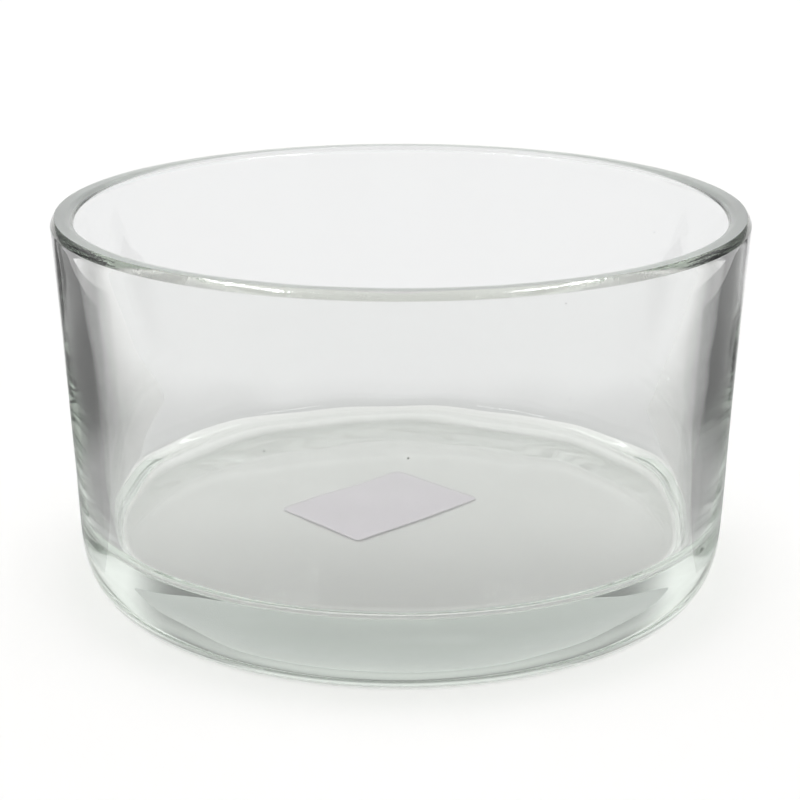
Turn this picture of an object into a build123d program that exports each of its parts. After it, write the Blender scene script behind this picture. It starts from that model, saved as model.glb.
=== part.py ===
from build123d import *

import os

# A heavy pressed-glass bowl for floating candles, with a paper label stuck under its base.
# The bowl is one piece of clear glass: a thick base on a foot ring, a gently tapering wall and a rim
# with a flat top, bevelled outside and rounded inside. Under the base a shallow dome keeps the label
# clear of the table.
# Millimetres, +Z up. The origin is on the table, on the bowl's axis.

# Outside of the bowl
RIM_DIAMETER = 152.0  # where the wall meets the bevel, the widest place
BASE_DIAMETER = 145.4  # where the wall meets the heel
HEIGHT = 84.0  # table to the top of the rim
WALL_BOW = 0.25  # how far the outer wall curves in from a straight taper
HEEL_HEIGHT = 13.4  # table to the top of the rounded heel
HEEL_SETBACK = 7.2  # from the outside of the base in to the foot ring
BEVEL_SETBACK = 0.9  # from the widest place in to the rim's flat top
BEVEL_DROP = 1.7  # from the flat top down to the widest place

# Glass thicknesses
RIM_WALL = 4.9  # across the rim, bevel included
BASE_WALL = 6.2  # where the wall meets the inner floor
FLOOR_HEIGHT = 15.0  # table to the inner floor
MOUTH_ROUND = 2.0  # between the rim's flat top and the inner wall
FLOOR_FILLET = 4.0  # between the inner floor and the wall

# Underside
FOOT_WIDTH = 8.0  # width of the flat ring that the bowl stands on
DOME_HEIGHT = 0.6  # table to the top of the dome inside that ring

# Label, a stock size, stuck to the dome
LABEL_LENGTH = 38.0
LABEL_WIDTH = 28.0
LABEL_CORNER = 1.5
LABEL_THICKNESS = 0.12
LABEL_CENTRE = (-5.1, 8.8)  # from the bowl's axis
LABEL_TURN = 43.0  # degrees from +X to the label's long side

# A cubic curve whose handles are this share of its sides comes within 0.03% of a quarter ellipse
QUARTER_ELLIPSE_HANDLE = 0.5523

rim_radius = RIM_DIAMETER / 2
base_radius = BASE_DIAMETER / 2
foot_radius = base_radius - HEEL_SETBACK
dome_edge_radius = foot_radius - FOOT_WIDTH
dome_sphere_radius = (dome_edge_radius**2 + DOME_HEIGHT**2) / (2 * DOME_HEIGHT)
floor_radius = base_radius - BASE_WALL
mouth_radius = rim_radius - RIM_WALL

os.makedirs("parts", exist_ok=True)

# Glass bowl: its half section, turned about the axis
with BuildPart() as glass_bowl:
    with BuildSketch(Plane.XZ) as section:
        with BuildLine():
            shoulder = (rim_radius, HEIGHT - BEVEL_DROP)
            outer_wall = SagittaArc((base_radius, HEEL_HEIGHT), shoulder, -WALL_BOW)
            heel_top = outer_wall @ 0
            heel = Bezier(
                (foot_radius, 0),
                (foot_radius + QUARTER_ELLIPSE_HANDLE * HEEL_SETBACK, 0),
                heel_top - (outer_wall % 0) * (QUARTER_ELLIPSE_HANDLE * HEEL_HEIGHT),
                heel_top,
            )
            Polyline(
                shoulder,
                (rim_radius - BEVEL_SETBACK, HEIGHT),
                (mouth_radius, HEIGHT),
                (floor_radius, FLOOR_HEIGHT),
                (0, FLOOR_HEIGHT),
                (0, DOME_HEIGHT),
            )
            TangentArc((0, DOME_HEIGHT), (dome_edge_radius, 0), tangent=(1, 0))
            Line((dome_edge_radius, 0), heel @ 0)
        make_face()
        mouth_corner = section.vertices().sort_by_distance((mouth_radius, HEIGHT))[0]
        fillet(mouth_corner, MOUTH_ROUND)
        floor_corner = section.vertices().sort_by_distance((floor_radius, FLOOR_HEIGHT))[0]
        fillet(floor_corner, FLOOR_FILLET)
    revolve(axis=Axis.Z)
glass_bowl.part.label = "glass_bowl"
export_step(glass_bowl.part, "parts/glass_bowl.step")

# Base label: a blank sheet of paper with rounded corners, its gummed face up against the dome
with BuildPart() as base_label:
    with BuildSketch():
        with Locations(Location((*LABEL_CENTRE, 0), (0, 0, LABEL_TURN))):
            RectangleRounded(LABEL_LENGTH, LABEL_WIDTH, LABEL_CORNER)
    extrude(amount=DOME_HEIGHT)
    with Locations((0, 0, DOME_HEIGHT - dome_sphere_radius)):
        Sphere(dome_sphere_radius, mode=Mode.INTERSECT)
        Sphere(dome_sphere_radius - LABEL_THICKNESS, mode=Mode.SUBTRACT)
base_label.part.label = "base_label"
export_step(base_label.part, "parts/base_label.step")
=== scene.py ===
import math

import bpy
import numpy as np
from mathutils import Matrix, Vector


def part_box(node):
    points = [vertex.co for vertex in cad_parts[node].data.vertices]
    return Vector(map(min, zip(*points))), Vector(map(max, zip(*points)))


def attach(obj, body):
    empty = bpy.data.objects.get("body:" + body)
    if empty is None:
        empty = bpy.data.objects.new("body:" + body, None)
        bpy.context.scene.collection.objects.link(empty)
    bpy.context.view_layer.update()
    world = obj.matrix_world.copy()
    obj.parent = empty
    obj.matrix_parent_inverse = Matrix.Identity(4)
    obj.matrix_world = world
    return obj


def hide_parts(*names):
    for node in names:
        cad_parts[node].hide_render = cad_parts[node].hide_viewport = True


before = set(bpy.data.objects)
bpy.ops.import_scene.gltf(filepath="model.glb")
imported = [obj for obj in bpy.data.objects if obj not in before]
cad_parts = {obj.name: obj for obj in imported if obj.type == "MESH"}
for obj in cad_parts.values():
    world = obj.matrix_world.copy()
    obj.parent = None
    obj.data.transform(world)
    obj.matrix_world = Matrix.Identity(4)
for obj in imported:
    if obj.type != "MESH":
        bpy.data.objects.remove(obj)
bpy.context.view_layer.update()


# Glass bowl: one piece of clear pressed soda-lime glass. A plunger presses the gob into a turned mould,
# which leaves faint ripples in the wall and floor. The rim is ground flat, and its outer edge is bevelled
# and polished. The base is solid and heavy, so edge on it looks pale green.
_, bowl_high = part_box("glass_bowl")
HEIGHT = bowl_high.z
RIM_RADIUS = bowl_high.x  # where the wall meets the bevel, the widest place
BASE_RADIUS = 0.0727  # where the wall meets the heel
WALL_BOW = 0.00025  # how far the outer wall curves in from a straight taper
HEEL_HEIGHT = 0.0134
HEEL_SETBACK = 0.0072
RIM_WALL = 0.0049  # across the rim, bevel included
MOUTH_ROUND = 0.0020  # between the rim's flat top and the inner wall
BEVEL_SETBACK = 0.0009
BEVEL_DROP = 0.0017
BEVEL_BOW = 0.00005  # how far the bevel swells from flat
BEVEL_EDGE_ROUND = 0.00012  # between the bevel and the flat top
SHOULDER_ROUND = 0.00025  # between the wall and the bevel
BASE_WALL = 0.0062
FLOOR_HEIGHT = 0.0150
FLOOR_FILLET = 0.0040
FOOT_RADIUS = BASE_RADIUS - HEEL_SETBACK
FOOT_WIDTH = 0.0080
DOME_HEIGHT = 0.0006
DOME_EDGE = FOOT_RADIUS - FOOT_WIDTH
DOME_SPHERE = (DOME_EDGE**2 + DOME_HEIGHT**2) / (2 * DOME_HEIGHT)
# A cubic curve whose handles are this share of its sides comes within 0.03% of a quarter ellipse
QUARTER_ELLIPSE_HANDLE = 0.5523

# Ripples: their slope and lengths, and their share in each place
RIPPLE_SLOPE = 0.010
RIPPLE_LENGTHS = (0.010, 0.030)
RIPPLE_WAVES = 24
RIPPLE_SEED = 5
DOME_RIPPLE = 0.6
HEEL_RIPPLE = 1.0
RIM_RIPPLE = 0.3
FLOOR_RIPPLE = 0.5

# Faces along each stretch of the section, and round the axis
DOME_STEPS = 24
FOOT_STEPS = 4
HEEL_STEPS = 44
WALL_STEPS = 56
BEVEL_STEPS = 10
EDGE_STEPS = 6
TOP_STEPS = 6
MOUTH_STEPS = 16
FILLET_STEPS = 24
FLOOR_STEPS = 36
TURN_STEPS = 320
SMALLEST_STEP = 1e-7


def line(start, end, steps):
    """Points on a straight run: start plus a share of the way to end, with the shares evenly spaced."""
    share = np.linspace(0, 1, steps + 1)[:, None]
    return np.array(start) * (1 - share) + np.array(end) * share


def curve(start, start_handle, end_handle, end, steps):
    """Points on a cubic curve: its four points weighted by the terms of (1 - t + t) cubed."""
    t = np.linspace(0, 1, steps + 1)[:, None]
    weights = ((1 - t) ** 3, 3 * t * (1 - t) ** 2, 3 * t**2 * (1 - t), t**3)
    points = (start, start_handle, end_handle, end)
    return sum(weight * np.array(point) for weight, point in zip(weights, points))


def corner_round(before, corner, after, radius, steps):
    """Points on the arc of that radius that is tangent to both sides of a corner. The arc's centre lies on
    the corner's bisector, at radius / sin(half the angle), and the arc turns between the two tangent
    points."""
    before, corner, after = (np.array(point, float) for point in (before, corner, after))
    back = (before - corner) / np.linalg.norm(before - corner)
    ahead = (after - corner) / np.linalg.norm(after - corner)
    half_angle = math.acos(np.clip(back @ ahead, -1, 1)) / 2
    bisector = (back + ahead) / np.linalg.norm(back + ahead)
    centre = corner + bisector * radius / math.sin(half_angle)
    reach = radius / math.tan(half_angle)
    first = corner + back * reach - centre
    last = corner + ahead * reach - centre
    sweep = math.pi - 2 * half_angle
    turn = np.linspace(0, sweep, steps + 1)[:, None]
    return centre + (first * np.sin(sweep - turn) + last * np.sin(turn)) / math.sin(sweep)


def arch(share):
    """A parabola over a run: 0 at both ends and 1 in the middle."""
    return 4 * share * (1 - share)


def dome_height(radius):
    """Height of the dome under the base: a sphere's cap, at its highest on the axis."""
    return DOME_HEIGHT - DOME_SPHERE + np.sqrt(DOME_SPHERE**2 - radius**2)


def bowl_section():
    """The bowl's half section as (radius, height) points, from the axis under the base, out along the dome
    and the foot ring, up the outside, over the rim, down the inside and back along the floor to the axis.
    Returns the points and each one's share of the ripple."""
    foot_edge = (FOOT_RADIUS, 0)
    heel_top = (BASE_RADIUS, HEEL_HEIGHT)
    shoulder = (RIM_RADIUS, HEIGHT - BEVEL_DROP)
    bevel_edge = (RIM_RADIUS - BEVEL_SETBACK, HEIGHT)
    mouth_edge = (RIM_RADIUS - RIM_WALL, HEIGHT)
    floor_corner = (BASE_RADIUS - BASE_WALL, FLOOR_HEIGHT)
    floor_centre = (0, FLOOR_HEIGHT)

    dome_radius = np.linspace(0, DOME_EDGE, DOME_STEPS + 1)
    dome = np.stack([dome_radius, dome_height(dome_radius)], -1)
    foot = line((DOME_EDGE, 0), foot_edge, FOOT_STEPS)

    # The heel ends along the bowed wall, whose parabola starts at a slope of 4 * bow / rise
    wall_rise = np.array(shoulder) - np.array(heel_top)
    wall_lean = wall_rise / np.linalg.norm(wall_rise) - (4 * WALL_BOW / wall_rise[1], 0)
    foot_handle = (FOOT_RADIUS + QUARTER_ELLIPSE_HANDLE * HEEL_SETBACK, 0)
    heel_handle = np.array(heel_top) - wall_lean * QUARTER_ELLIPSE_HANDLE * HEEL_HEIGHT
    heel = curve(foot_edge, foot_handle, heel_handle, heel_top, HEEL_STEPS)

    shoulder_round = corner_round(heel_top, shoulder, bevel_edge, SHOULDER_ROUND, EDGE_STEPS)
    outer_wall = line(heel_top, shoulder_round[0], WALL_STEPS)
    climb = (outer_wall[:, 1] - HEEL_HEIGHT) / (shoulder_round[0, 1] - HEEL_HEIGHT)
    outer_wall[:, 0] -= WALL_BOW * arch(climb)

    bevel_round = corner_round(shoulder, bevel_edge, mouth_edge, BEVEL_EDGE_ROUND, EDGE_STEPS)
    bevel = line(shoulder_round[-1], bevel_round[0], BEVEL_STEPS)
    way = bevel[-1] - bevel[0]
    outwards = np.array([way[1], -way[0]]) / np.linalg.norm(way)
    bevel += BEVEL_BOW * arch(np.linspace(0, 1, BEVEL_STEPS + 1))[:, None] * outwards
    mouth_round = corner_round(bevel_edge, mouth_edge, floor_corner, MOUTH_ROUND, MOUTH_STEPS)
    top = line(bevel_round[-1], mouth_round[0], TOP_STEPS)
    rim = np.concatenate([shoulder_round, bevel, bevel_round, top, mouth_round])

    fillet = corner_round(mouth_edge, floor_corner, floor_centre, FLOOR_FILLET, FILLET_STEPS)
    inner_wall = line(mouth_round[-1], fillet[0], WALL_STEPS)
    floor = np.concatenate([fillet, line(fillet[-1], floor_centre, FLOOR_STEPS)])

    # Each stretch, with its share of the ripple at its start and at its end
    stretches = (
        (dome, DOME_RIPPLE, 0.0),
        (foot, 0.0, 0.0),
        (heel, 0.0, HEEL_RIPPLE),
        (outer_wall, HEEL_RIPPLE, RIM_RIPPLE),
        (rim, RIM_RIPPLE, RIM_RIPPLE),
        (inner_wall, RIM_RIPPLE, FLOOR_RIPPLE),
        (floor, FLOOR_RIPPLE, FLOOR_RIPPLE),
    )
    points = np.concatenate([run for run, _, _ in stretches])
    ripple = np.concatenate([np.linspace(first, last, len(run)) for run, first, last in stretches])

    # A point that two stretches share is kept once
    step = np.linalg.norm(np.diff(points, axis=0), axis=1)
    kept = np.concatenate([[True], step > SMALLEST_STEP])
    return points[kept], ripple[kept]


def ripple_height(points):
    """Unevenness of the pressed glass at each point: a sum of waves with seeded directions, lengths and
    phases, each as steep as the others, so that a longer wave is higher."""
    draw = np.random.default_rng(RIPPLE_SEED)
    way = draw.normal(size=(RIPPLE_WAVES, 3))
    way /= np.linalg.norm(way, axis=1, keepdims=True)
    length = draw.uniform(*RIPPLE_LENGTHS, RIPPLE_WAVES)
    phase = draw.uniform(0, 2 * math.pi, RIPPLE_WAVES)
    turns = 2 * math.pi / length
    steepness = RIPPLE_SLOPE * math.sqrt(2 / RIPPLE_WAVES)
    return np.cos(points @ (way * turns[:, None]).T + phase) @ (steepness / turns)


def underside_height(x, y):
    """Height of the rippled dome over a point of the table. The ripple fades out towards the dome's edge."""
    radius = np.hypot(x, y)
    smooth = dome_height(radius)
    share = DOME_RIPPLE * (1 - radius / DOME_EDGE)
    return smooth - share * ripple_height(np.stack([x, y, smooth], -1))


def grid_faces(number):
    """Four-sided faces between the points of a grid, whose numbers are given in rows and columns."""
    corners = (number[:-1, :-1], number[1:, :-1], number[1:, 1:], number[:-1, 1:])
    return np.stack(corners, -1).reshape(-1, 4)


def turned(section, ripple, steps):
    """A surface of revolution: each (radius, height) point of the section goes round the Z axis in equal
    steps, and is then moved along its normal by its share of the ripple. The two ends lie on the axis and
    are single points. Returns the points, and faces that look outwards."""
    angle = np.linspace(0, 2 * math.pi, steps, endpoint=False)
    run = np.gradient(section, axis=0)
    normal = np.stack([run[:, 1], -run[:, 0]], -1) / np.linalg.norm(run, axis=1, keepdims=True)
    normal[[0, -1], 0] = 0

    def spun(profile):
        """Each point of a profile at each angle: radius times cosine, radius times sine, and height."""
        x = profile[:, :1] * np.cos(angle)
        y = profile[:, :1] * np.sin(angle)
        z = np.repeat(profile[:, 1:], steps, axis=1)
        return np.stack([x, y, z], -1)

    points = spun(section)
    points += spun(normal) * (ripple[:, None] * ripple_height(points))[..., None]
    points = np.concatenate([points[1:-1].reshape(-1, 3), points[[0, -1], 0]])
    number = np.arange(len(points) - 2).reshape(-1, steps)
    beside = np.roll(number, -1, axis=1)
    quads = grid_faces(np.concatenate([number, number[:, :1]], axis=1).T)
    start = np.full(steps, len(points) - 2)
    finish = np.full(steps, len(points) - 1)
    first_fan = np.stack([start, beside[0], number[0]], -1)
    last_fan = np.stack([finish, number[-1], beside[-1]], -1)
    return points, quads.tolist() + first_fan.tolist() + last_fan.tolist()


def new_piece(name, points, faces):
    """A smooth-shaded mesh object at the origin, with its place in its mesh."""
    mesh = bpy.data.meshes.new(name)
    mesh.from_pydata(points, [], faces)
    mesh.polygons.foreach_set("use_smooth", np.ones(len(mesh.polygons), bool))
    mesh.update()
    piece = bpy.data.objects.new(name, mesh)
    bpy.context.scene.collection.objects.link(piece)
    return piece


class Shade:
    """One output of a node as a value in an expression. An operator adds the Math node that works it out."""

    def __init__(self, tree, output=None):
        self.tree = tree
        self.output = output

    def node(self, kind, settings, sockets, output=0):
        """Adds a node: its settings are set first, then its sockets are given values or links. Returns the
        output that is asked for, or the node itself where that is None."""
        made = self.tree.nodes.new(kind)
        for name, value in settings.items():
            setattr(made, name, value)
        for name, value in sockets.items():
            if isinstance(value, Shade):
                self.tree.links.new(value.output, made.inputs[name])
            else:
                made.inputs[name].default_value = value
        return made if output is None else Shade(self.tree, made.outputs[output])

    def maths(self, operation, first, second=0.0):
        """A Math node. Some of its operations take only the first value."""
        return self.node("ShaderNodeMath", {"operation": operation}, {0: first, 1: second})

    def between(self, first, second):
        """A colour between two, with this value as the share of the second. A Mix node has sockets of the
        same name for numbers, vectors and colours, so they are taken by their places."""
        return self.node("ShaderNodeMix", {"data_type": "RGBA"}, {0: self, 6: first, 7: second}, 2)

    def fade(self, low, high):
        """A smooth step of this value, from 0 at the low limit to 1 at the high one."""
        limits = {"Value": self, "From Min": low, "From Max": high}
        return self.node("ShaderNodeMapRange", {"interpolation_type": "SMOOTHSTEP"}, limits)

    def axes(self):
        """The X, Y and Z of this vector."""
        made = self.node("ShaderNodeSeparateXYZ", {}, {"Vector": self}, None)
        return [Shade(self.tree, output) for output in made.outputs]

    def noise(self, scale, detail):
        """Cloudy noise over this place, about a half on average."""
        return self.node("ShaderNodeTexNoise", {}, {"Vector": self, "Scale": scale, "Detail": detail})

    def __add__(self, other):
        return self.maths("ADD", self, other)

    def __radd__(self, other):
        return self.maths("ADD", other, self)

    def __sub__(self, other):
        return self.maths("SUBTRACT", self, other)

    def __rsub__(self, other):
        return self.maths("SUBTRACT", other, self)

    def __mul__(self, other):
        return self.maths("MULTIPLY", self, other)

    def __rmul__(self, other):
        return self.maths("MULTIPLY", other, self)


def new_material(name):
    """An empty node material, and the start of its expressions."""
    material = bpy.data.materials.new(name)
    material.use_nodes = True
    material.node_tree.nodes.clear()
    return material, Shade(material.node_tree)


GLASS_CLEAR = (0.922, 0.926, 0.922, 1)
GLASS_IOR = 1.52
GLASS_DEPTH_COLOUR = (0.505, 0.60, 0.51, 1)
GLASS_DEPTH_DENSITY = 5.0
SPECK_COLOUR = (0.10, 0.10, 0.09, 1)
SPECK_SCALE = 72.0
SPECK_RADIUS = 0.00028
SPECK_CORE = 0.6  # the share of a speck's radius that is fully dark
SMUDGE_SCALE = 55.0
SMUDGE_DETAIL = 4.0
SMUDGE_LIMITS = (0.5, 0.7)
SMUDGE_ROUGHNESS = 0.012
# Painted shade: a grey tint that makes the polished bevel show darker
BEVEL_SHADE_TINT = (0.72, 0.73, 0.69, 1)
BEVEL_ROUGHNESS = 0.05
TOP_GREY = (0.66, 0.67, 0.67, 1)
TOP_SHARE = 0.4  # how much of the flat top is left matte by the grinding
TOP_ROUGHNESS = 0.30
TOP_EDGE = (0.0014, 0.0005)  # depths below the top at which its finish begins and is full
RIM_GRAIN_SCALE = 1250.0
RIM_GRAIN_DETAIL = 1.0
RIM_GRAIN_DEPTH = 0.00003


def clear_glass():
    """Clear soda-lime glass: smooth but for faint smudges of handling and a few dark specks, and green only
    where it is thick. The ground rim keeps a fine grain, polished on its bevel and satin on its top. The
    bevel's colour is tinted grey, which is painted shade that makes it show darker."""
    material, shade = new_material("clear_glass")
    place = shade.node("ShaderNodeTexCoord", {}, {}, "Object")
    x, y, height = place.axes()
    radius = shade.maths("SQRT", x * x + y * y)
    shoulder = HEIGHT - BEVEL_DROP
    bevel_edge = RIM_RADIUS - BEVEL_SETBACK
    outside = radius.fade(bevel_edge - BEVEL_EDGE_ROUND, bevel_edge)
    bevel = height.fade(shoulder - SHOULDER_ROUND, shoulder + SHOULDER_ROUND) * outside
    top = height.fade(HEIGHT - TOP_EDGE[0], HEIGHT - TOP_EDGE[1]) * (1 - outside)
    grain = place.noise(RIM_GRAIN_SCALE, RIM_GRAIN_DETAIL)
    smudge = place.noise(SMUDGE_SCALE, SMUDGE_DETAIL).fade(*SMUDGE_LIMITS)
    from_speck = shade.node("ShaderNodeTexVoronoi", {}, {"Vector": place, "Scale": SPECK_SCALE}, "Distance")
    speck_edge = SPECK_RADIUS * SPECK_SCALE
    unspecked = from_speck.fade(SPECK_CORE * speck_edge, speck_edge)
    # The specks are real; the bevel's tint is painted shade
    colour = bevel.between(unspecked.between(SPECK_COLOUR, GLASS_CLEAR), BEVEL_SHADE_TINT)
    roughness = SMUDGE_ROUGHNESS * smudge + BEVEL_ROUGHNESS * bevel + TOP_ROUGHNESS * top
    relief = shade.node("ShaderNodeBump", {}, {"Height": (bevel + top) * grain, "Distance": RIM_GRAIN_DEPTH})
    clear = shade.node(
        "ShaderNodeBsdfPrincipled",
        {},
        {
            "Base Color": colour,
            "Roughness": roughness,
            "IOR": GLASS_IOR,
            "Transmission Weight": 1.0,
            "Normal": relief,
        },
    )
    ground = shade.node("ShaderNodeBsdfPrincipled", {}, {"Base Color": TOP_GREY, "Roughness": TOP_ROUGHNESS})
    surface = shade.node("ShaderNodeMixShader", {}, {0: TOP_SHARE * top, 1: clear, 2: ground})
    depth = shade.node(
        "ShaderNodeVolumeAbsorption",
        {},
        {"Color": GLASS_DEPTH_COLOUR, "Density": GLASS_DEPTH_DENSITY},
    )
    shade.node("ShaderNodeOutputMaterial", {}, {"Surface": surface, "Volume": depth}, None)
    return material


bowl_points, bowl_faces = turned(*bowl_section(), TURN_STEPS)
glass_bowl = new_piece("glass_bowl_clear", bowl_points, bowl_faces)
glass_bowl.data.materials.append(clear_glass())
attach(glass_bowl, "root")
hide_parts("glass_bowl")


# Base label: a small blank paper sticker with rounded corners, gummed to the dome under the base.
# The paper has relaxed a little, so its corners droop from the glass. It is seen through the bowl's floor.
LABEL_LENGTH = 0.0380
LABEL_WIDTH = 0.0280
LABEL_THICKNESS = 0.00012
LABEL_CORNER = 0.0015
LABEL_CENTRE = (-0.0051, 0.0088)  # from the bowl's axis
LABEL_TURN = math.radians(43)  # from +X to the label's long side
LABEL_GUM_GAP = 0.00002
LABEL_DROOP = 0.00018
LABEL_STEPS = 48


def label_sheet():
    """A rounded rectangle of paper: a square grid of (u, v) from -1 to 1, whose outer points are drawn in at
    the corners. The sheet droops by the fourth power of the distance from its middle. Its top and bottom
    are two such grids, and a strip of faces round the edge joins them."""
    share = np.linspace(-1, 1, LABEL_STEPS + 1)
    u, v = np.meshgrid(share, share, indexing="ij")
    half = np.array([LABEL_LENGTH, LABEL_WIDTH]) / 2
    straight = half - LABEL_CORNER
    along = u * half[0]
    across = v * half[1]
    past = np.stack([np.abs(along) - straight[0], np.abs(across) - straight[1]], -1).clip(0)
    reach = np.linalg.norm(past, axis=-1)
    pull = np.where(reach > 0, past.max(-1) / np.maximum(reach, SMALLEST_STEP), 1.0)
    along = np.sign(along) * (np.abs(along) - past[..., 0] * (1 - pull))
    across = np.sign(across) * (np.abs(across) - past[..., 1] * (1 - pull))
    droop = LABEL_DROOP * (u**2 + v**2) ** 2 / 4
    cos, sin = math.cos(LABEL_TURN), math.sin(LABEL_TURN)
    x = LABEL_CENTRE[0] + along * cos - across * sin
    y = LABEL_CENTRE[1] + along * sin + across * cos
    top = underside_height(x, y) - LABEL_GUM_GAP - droop
    upper = np.stack([x, y, top], -1).reshape(-1, 3)
    lower = upper - (0, 0, LABEL_THICKNESS)
    number = np.arange(u.size).reshape(u.shape)
    quads = grid_faces(number)
    edge = np.concatenate([number[:-1, 0], number[-1, :-1], number[:0:-1, -1], number[0, :0:-1]])
    beside = np.roll(edge, -1)
    below = u.size
    rim = np.stack([edge, edge + below, beside + below, beside], -1)
    faces = np.concatenate([quads, quads[:, ::-1] + below, rim])
    return np.concatenate([upper, lower]), faces.tolist()


LABEL_PALE = (0.95, 0.89, 0.955, 1)
LABEL_GREY = (0.905, 0.845, 0.91, 1)
LABEL_CLOUD_SCALE = 260.0
LABEL_CLOUD_DETAIL = 3.0
LABEL_CLOUD_SHARE = 0.6  # of the paper's unevenness, and the fibres have the rest
LABEL_FIBRE_SCALE = 1400.0
LABEL_FIBRE_DETAIL = 2.0
LABEL_FIBRE_DEPTH = 0.00002
LABEL_FIBRE_ROUGHNESS = 0.2
LABEL_ROUGHNESS = 0.7


def label_paper():
    """White paper with a cool cast: cloudy where the pulp is thicker or thinner, and rough with fine
    fibres."""
    material, shade = new_material("label_paper")
    place = shade.node("ShaderNodeTexCoord", {}, {}, "Object")
    cloud = place.noise(LABEL_CLOUD_SCALE, LABEL_CLOUD_DETAIL)
    fibre = place.noise(LABEL_FIBRE_SCALE, LABEL_FIBRE_DETAIL)
    uneven = LABEL_CLOUD_SHARE * cloud + (1 - LABEL_CLOUD_SHARE) * fibre
    colour = uneven.between(LABEL_PALE, LABEL_GREY)
    roughness = LABEL_ROUGHNESS + LABEL_FIBRE_ROUGHNESS * fibre
    grain = shade.node("ShaderNodeBump", {}, {"Height": fibre, "Distance": LABEL_FIBRE_DEPTH})
    surface = shade.node(
        "ShaderNodeBsdfPrincipled",
        {},
        {"Base Color": colour, "Roughness": roughness, "Normal": grain},
    )
    shade.node("ShaderNodeOutputMaterial", {}, {"Surface": surface}, None)
    return material


base_label = new_piece("base_label_paper", *label_sheet())
base_label.data.materials.append(label_paper())
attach(base_label, "root")
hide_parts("base_label")


# Floor: a plain white sheet, which reaches far enough to fill the view.
# It lies a hair below the foot ring, so that the two never share a plane.
FLOOR_GAP = 0.00005
FLOOR_REACH = 6.0
FLOOR_COLOUR = (0.957, 0.95, 0.943, 1)


def matte(name, colour):
    """A plain matte surface of one colour, or of the colours that a function works out."""
    material, shade = new_material(name)
    paint = colour(shade) if callable(colour) else colour
    surface = shade.node("ShaderNodeBsdfDiffuse", {}, {"Color": paint})
    shade.node("ShaderNodeOutputMaterial", {}, {"Surface": surface}, None)
    return material


floor_corners = np.array([(-1, -1, 0), (1, -1, 0), (1, 1, 0), (-1, 1, 0)]) * FLOOR_REACH - (0, 0, FLOOR_GAP)
sweep = new_piece("white_sweep", floor_corners, [(0, 1, 2, 3)])
sweep.data.materials.append(matte("white_paper_sweep", FLOOR_COLOUR))


# Sky: the even white of a light tent. Its roof is dimmer, and so is a strip behind the bowl, between the top
# of the backdrop and the roof, which the glass floor mirrors. Its open sides are dark near the horizon, and
# show in the ends of the bevel. Rises over the horizon and turns from straight behind are in degrees.
SKY_LEVEL = 1.25
ROOF_DIMMER = 0.5
ROOF_RISE = (58, 70)
STRIP_DIMMER = 0.8
STRIP_RISE = (4, 26)
STRIP_TOP = (31, 35)
STRIP_TURN = (30, 48)
SIDE_DIMMER = 0.75
SIDE_TURN = (15, 25)
SIDE_END = (60, 75)
SIDE_RISE = (8, 16)
WHITE_LIGHT = (1, 1, 1, 1)


def light_tent():
    """White light from all round, less in the roof, in the strip and low at the sides. Each of these is a
    product of smooth steps of the rise over the horizon and of the turn from straight behind the bowl."""
    world = bpy.data.worlds.new("light_tent")
    world.use_nodes = True
    world.node_tree.nodes.clear()
    sky = Shade(world.node_tree)
    x, y, z = sky.node("ShaderNodeTexCoord", {}, {}, "Generated").axes()
    rise = sky.maths("ARCSINE", z) * math.degrees(1)
    turn = sky.maths("ABSOLUTE", sky.maths("ARCTAN2", x, y)) * math.degrees(1)
    roof = rise.fade(*ROOF_RISE)
    strip = rise.fade(*STRIP_RISE) * (1 - rise.fade(*STRIP_TOP)) * (1 - turn.fade(*STRIP_TURN))
    side = turn.fade(*SIDE_TURN) * (1 - turn.fade(*SIDE_END)) * (1 - rise.fade(*SIDE_RISE))
    level = SKY_LEVEL * (1 - ROOF_DIMMER * roof) * (1 - STRIP_DIMMER * strip) * (1 - SIDE_DIMMER * side)
    light = sky.node("ShaderNodeBackground", {}, {"Color": WHITE_LIGHT, "Strength": level})
    sky.node("ShaderNodeOutputWorld", {}, {"Surface": light}, None)
    return world


bpy.context.scene.world = light_tent()


# Soft shade: the bowl keeps some light off the white sheet behind it and under its front. Two thin sheets
# on the table carry that shade, and only the glass shows them. Turns from straight behind are in degrees.
SHADE_LIFT = 0.00025  # over the foot ring's plane
# A little dimmer and cooler than the floor: painted shade over the table far behind the bowl
SHADE_WHITE = (0.905, 0.904, 0.911, 1)
SHADE_REACH = (0.085, 0.75)  # from the bowl's axis
SHADE_TURN = (75, -75)
SHADE_SIDE = (50, 75)  # turns between which it fades out at the sides
SHADE_BACK = (0.08, 0.15)  # distances behind the axis between which it fades out
SHADE_DEPTH = 0.27
SHADE_STEPS = (20, 40)
UNDER_LIFT = -0.00002
UNDER_REACH = (0.001, 0.066)
UNDER_TURN = (180, -180)
UNDER_FRONT = (-0.055, 0.010)  # places along Y between which it fades out
UNDER_DEPTH = 0.27
BLACK = (0, 0, 0, 1)


def shade_sheet(reach_span, turn_span, lift):
    """Part of a ring about the bowl's axis, on a grid of the distance from it and the turn from straight
    behind."""
    reach, turn = np.meshgrid(
        np.linspace(*reach_span, SHADE_STEPS[0] + 1),
        np.radians(np.linspace(*turn_span, SHADE_STEPS[1] + 1)),
        indexing="ij",
    )
    points = np.stack([reach * np.sin(turn), reach * np.cos(turn), np.full_like(turn, lift)], -1)
    faces = grid_faces(np.arange(turn.size).reshape(turn.shape))
    return points.reshape(-1, 3), faces.tolist()


def table_place(shade):
    """The distance to either side of the bowl's axis, and the distance behind it."""
    x, y, _ = shade.node("ShaderNodeTexCoord", {}, {}, "Object").axes()
    return shade.maths("ABSOLUTE", x), y


def light_lost(y):
    """The share of the light that the bowl keeps off the table: it fades out behind the bowl."""
    return SHADE_DEPTH * (1 - y.fade(*SHADE_BACK))


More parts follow.
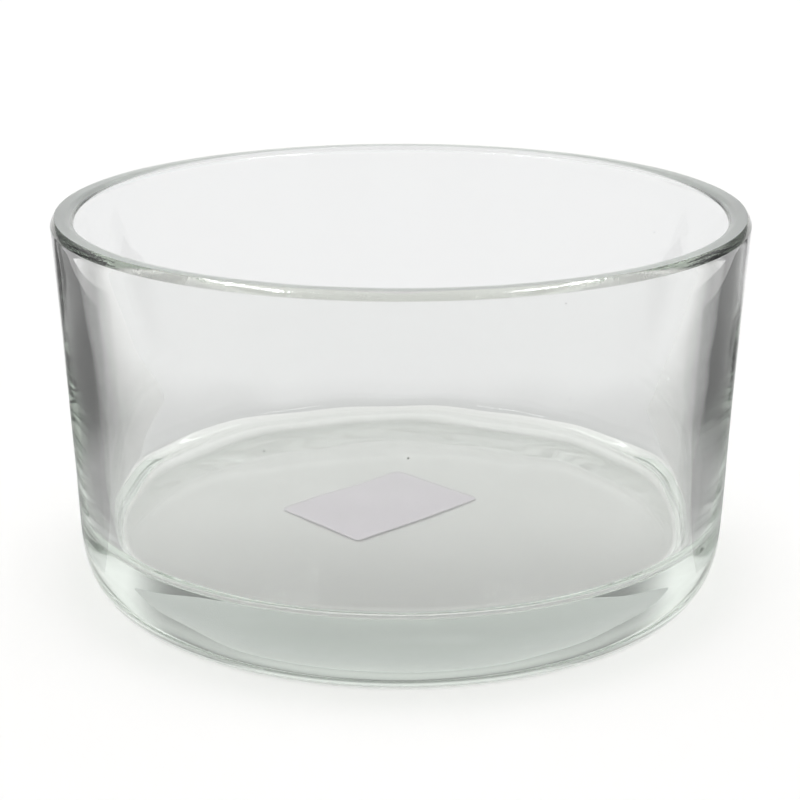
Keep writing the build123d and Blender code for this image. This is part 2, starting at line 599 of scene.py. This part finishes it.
def shaded_behind(shade):
    """The sheet's white, less what the bowl keeps off it. All of it fades out at the sides."""
    across, y = table_place(shade)
    turn = shade.maths("ARCTAN2", across, y) * math.degrees(1)
    aside = turn.fade(*SHADE_SIDE)
    white = aside.between(SHADE_WHITE, FLOOR_COLOUR)
    return (light_lost(y) * (1 - aside)).between(white, BLACK)


def shaded_under(shade):
    """The sheet's white under the bowl, less a share that grows towards the front."""
    _, y = table_place(shade)
    return (UNDER_DEPTH * (1 - y.fade(*UNDER_FRONT))).between(FLOOR_COLOUR, BLACK)


def show_only_in_glass(piece):
    """Leaves a piece to rays that the glass bends or mirrors."""
    piece.visible_camera = False
    piece.visible_diffuse = False
    piece.visible_shadow = False


back_shade = new_piece("back_shade", *shade_sheet(SHADE_REACH, SHADE_TURN, SHADE_LIFT))
back_shade.data.materials.append(matte("shaded_behind", shaded_behind))
under_shade = new_piece("under_shade", *shade_sheet(UNDER_REACH, UNDER_TURN, UNDER_LIFT))
under_shade.data.materials.append(matte("shaded_under", shaded_under))
for sheet in (back_shade, under_shade):
    show_only_in_glass(sheet)


# Grey cards: the darker ground left and right of the white sheet, which only the glass shows. Each is made
# of low upright slats that face the photograph's viewer and outwards, and are clear from behind, so that
# other views of the bowl look past them.
CARD_DEPTHS = (-0.02, 0.26)  # behind the bowl's axis, of the first slat and the last
CARD_FRONT = 0.150  # where the outer line passes the bowl's axis
CARD_SLANT = 2.1
CARD_REACH = 0.26  # furthest from the bowl's axis, to the side
CARD_NEAREST = 0.080  # nearest to it, clear of the bowl
CARD_STEPS = 280
CARD_RISE = (0.0005, 0.0017)  # of a slat's lower edge and its upper edge
CARD_FACING = math.radians(20)  # how far a slat is turned outwards
CARD_EDGES = {"left": (-1, 0.082, 0.66), "right": (1, 0.088, 0.68)}  # side, nearest and spread of its edge
CARD_SOFTNESS = (-0.030, 0.020)  # distances past the edge between which the grey sets in
CARD_WHITE = 0.86
CARD_NEAR_TONE = 0.47
CARD_FAR_TONE = 0.21
CARD_FAR = (0.140, 0.185)  # distances, aside and behind together, between which the tone changes


def card_slats(side, nearest, spread):
    """Slats beside the bowl. They begin a little inside a hyperbola that comes nearest to the bowl's axis
    level with it and opens out behind. From there they run out and back, as far as the line
    x = front + slant * y or the card's reach, whichever is nearer."""
    lean = math.tan(CARD_FACING)
    y = np.linspace(*CARD_DEPTHS, CARD_STEPS + 1)
    inner = np.maximum(np.hypot(nearest, spread * y) + CARD_SOFTNESS[0], CARD_NEAREST)
    to_line = (CARD_FRONT + CARD_SLANT * (y - lean * inner)) / (1 - CARD_SLANT * lean)
    outer = np.maximum(inner, np.minimum(to_line, CARD_REACH))
    low, high = CARD_RISE
    corners = ((inner, low), (outer, low), (outer, high), (inner, high))
    rows = [np.stack([side * x, y + lean * (x - inner), np.full_like(y, z)], -1) for x, z in corners]
    faces = np.arange(len(corners)) * len(y) + np.arange(len(y))[:, None]
    return np.concatenate(rows), faces[:, ::side].tolist()


def card_grey(name, nearest, spread):
    """A matte grey that is clear from behind. It sets in softly across the hyperbola, and is darker further
    off. Near the bowl it is dimmed further by painted shade, the light that the bowl keeps off the table."""
    material, shade = new_material(name)
    across, y = table_place(shade)
    edge = shade.maths("SQRT", nearest**2 + spread**2 * (y * y))
    set_in = (across - edge).fade(*CARD_SOFTNESS)
    far = (across + y).fade(*CARD_FAR)
    darkness = CARD_WHITE - CARD_NEAR_TONE + (CARD_NEAR_TONE - CARD_FAR_TONE) * far
    # Painted shade: the grey is dimmed near the bowl by the light it keeps off the table
    tone = (CARD_WHITE - darkness * set_in) * (1 - light_lost(y))
    behind = shade.node("ShaderNodeNewGeometry", {}, {}, "Backfacing")
    front = shade.node("ShaderNodeBsdfDiffuse", {}, {"Color": tone})
    clear = shade.node("ShaderNodeBsdfTransparent", {}, {})
    surface = shade.node("ShaderNodeMixShader", {}, {0: behind, 1: front, 2: clear})
    shade.node("ShaderNodeOutputMaterial", {}, {"Surface": surface}, None)
    return material


for name, (side, nearest, spread) in CARD_EDGES.items():
    card = new_piece(f"{name}_card", *card_slats(side, nearest, spread))
    card.data.materials.append(card_grey(f"{name}_card_grey", nearest, spread))
    show_only_in_glass(card)


# Light banks: two panels of small lamps in front of the bowl, left and right of the viewer and above.
# They show only as glints in the glass. Turns from straight behind, rises and the pitch are in degrees.
BANK_DISTANCE = 1.0
BANK_TURN = (108, 142)
BANK_RISE = (39, 43)
BANK_STEPS = (34, 4)
BANK_PITCH = 1.6  # from lamp to lamp
BANK_LEVEL = 20.0


def bank_sheet(side):
    """A patch of a sphere about the bowl, on a grid of the turn from behind the bowl and the rise."""
    turn, rise = np.meshgrid(
        np.radians(np.linspace(*BANK_TURN, BANK_STEPS[0] + 1)),
        np.radians(np.linspace(*BANK_RISE, BANK_STEPS[1] + 1)),
        indexing="ij",
    )
    way = np.stack([side * np.sin(turn) * np.cos(rise), np.cos(turn) * np.cos(rise), np.sin(rise)], -1)
    faces = grid_faces(np.arange(turn.size).reshape(turn.shape))
    return (way * BANK_DISTANCE).reshape(-1, 3), faces.tolist()


def lamp_rows():
    """Rows of lamps: the light swells and fades as one plus a cosine of the turn, and likewise of the
    rise."""
    material, shade = new_material("lamp_rows")
    x, y, z = shade.node("ShaderNodeTexCoord", {}, {}, "Object").axes()
    turns = 2 * math.pi / math.radians(BANK_PITCH)
    turn = shade.maths("ARCTAN2", x, y)
    rise = shade.maths("ARCSINE", z * (1 / BANK_DISTANCE))
    across = 1 + shade.maths("COSINE", turns * turn)
    upright = 1 + shade.maths("COSINE", turns * rise)
    strength = BANK_LEVEL * across * upright
    surface = shade.node("ShaderNodeEmission", {}, {"Color": WHITE_LIGHT, "Strength": strength})
    shade.node("ShaderNodeOutputMaterial", {}, {"Surface": surface}, None)
    return material


lamps = lamp_rows()
for side, name in ((-1, "left"), (1, "right")):
    bank = new_piece(f"{name}_light_bank", *bank_sheet(side))
    bank.data.materials.append(lamps)
    show_only_in_glass(bank)


# Camera: the photograph's viewpoint, a little above the rim. Light passes many faces of the glass on its
# way, so the limits on its bounces are high, and glints are not blurred.
CAMERA_PLACE = Vector((0, -0.424675, 0.174604))
CAMERA_AIM = Vector((-0.0002, 0, 0.0392))
CAMERA_LENS = 88.69
CAMERA_SENSOR = 36
CAMERA_CLIP = 0.01
BOUNCES = 32

camera_data = bpy.data.cameras.new("camera")
camera_data.sensor_width = CAMERA_SENSOR
camera_data.lens = CAMERA_LENS
camera_data.clip_start = CAMERA_CLIP
camera = bpy.data.objects.new("camera", camera_data)
camera.location = CAMERA_PLACE
camera.rotation_euler = (CAMERA_AIM - CAMERA_PLACE).to_track_quat("-Z", "Y").to_euler()
bpy.context.scene.collection.objects.link(camera)
bpy.context.scene.camera = camera
bpy.context.scene.view_settings.view_transform = "Standard"
bpy.context.scene.cycles.max_bounces = BOUNCES
bpy.context.scene.cycles.transmission_bounces = BOUNCES
bpy.context.scene.cycles.glossy_bounces = BOUNCES
bpy.context.scene.cycles.transparent_max_bounces = BOUNCES
bpy.context.scene.cycles.blur_glossy = 0
